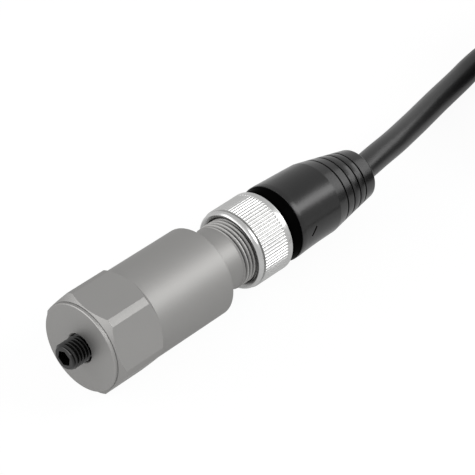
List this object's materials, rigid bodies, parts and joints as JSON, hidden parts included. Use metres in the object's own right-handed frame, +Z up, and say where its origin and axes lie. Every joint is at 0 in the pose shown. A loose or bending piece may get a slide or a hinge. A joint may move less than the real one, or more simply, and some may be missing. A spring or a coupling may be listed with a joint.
{
  "type": "vibration sensor",
  "caption": "Cylindrical steel vibration sensor with a hexagonal base, threaded mounting stud and a mated screw-on cable plug with its coiled cable.",
  "frame": {"origin": "on the surface the sensor lies on, under the middle of the length from the stud's tip to the end of the plug's strain relief", "axes": "+Y along the sensor's axis from the stud towards the cable, +Z up, +X to the right seen from the stud"},
  "size_m": [0.0685, 0.177, 0.0243],
  "materials": {
    "stainless_steel": "satin, finely turned",
    "dark_steel": "dark oxide",
    "ceramic": "matte",
    "piezo_ceramic": "matte",
    "copper": "bright",
    "tungsten": "satin",
    "board_laminate": "satin",
    "black_plastic": "satin",
    "gloss_black_plastic": "gloss",
    "seal_rubber": "matte",
    "nickel_plate": "bright nickel plate",
    "soft_black_overmould": "satin moulded",
    "cable_jacket": "satin",
    "tie_plastic": "satin",
    "gold_plate": "gold plate",
    "tin_plate": "tin plate",
    "core_brown": "satin",
    "core_white": "satin",
    "core_blue": "satin",
    "core_black": "satin"
  },
  "bodies": {
    "sensor": {"housing": "stainless_steel", "base_plate": "stainless_steel", "mounting_stud": "dark_steel", "insulator": "ceramic", "piezo_ring_front": "piezo_ceramic", "electrode": "copper", "piezo_ring_rear": "piezo_ceramic", "seismic_mass": "tungsten", "preload_bolt": "dark_steel", "signal_lead": "copper", "circuit_board": "board_laminate", "amplifier_chip": "black_plastic", "connector_insert": "black_plastic", "contact_pin_1": "gold_plate", "contact_pin_2": "gold_plate", "contact_pin_3": "gold_plate", "contact_pin_4": "gold_plate"},
    "plug": {"contact_carrier": "gloss_black_plastic", "socket_contact_1": "gold_plate", "socket_contact_2": "gold_plate", "socket_contact_3": "gold_plate", "socket_contact_4": "gold_plate", "plug_seal": "seal_rubber", "overmould": "soft_black_overmould", "cable": "cable_jacket", "cable_coil": "cable_jacket", "cable_tail": "cable_jacket", "coil_tie_front": "tie_plastic", "coil_tie_rear": "tie_plastic", "core_brown": "core_brown", "core_white": "core_white", "core_blue": "core_blue", "core_black": "core_black", "ferrule_brown": "tin_plate", "ferrule_white": "tin_plate", "ferrule_blue": "tin_plate", "ferrule_black": "tin_plate"},
    "nut": {"coupling_nut": "nickel_plate"}
  },
  "joints": [
    {"name": "plug_back_off", "type": "slide", "parent": "sensor", "child": "plug", "axis": [0, 1, 0], "range_m": [0, 0.005]},
    {"name": "nut_turn", "type": "hinge", "parent": "plug", "child": "nut", "pos_m": [0, 0.0068, 0.00825], "axis": [0, 1, 0], "range_deg": [0, 1800]}
  ],
  "couplings": [
    {"joint": "nut_turn", "follows": "plug_back_off", "rad_per_m": 6283.2}
  ]
}
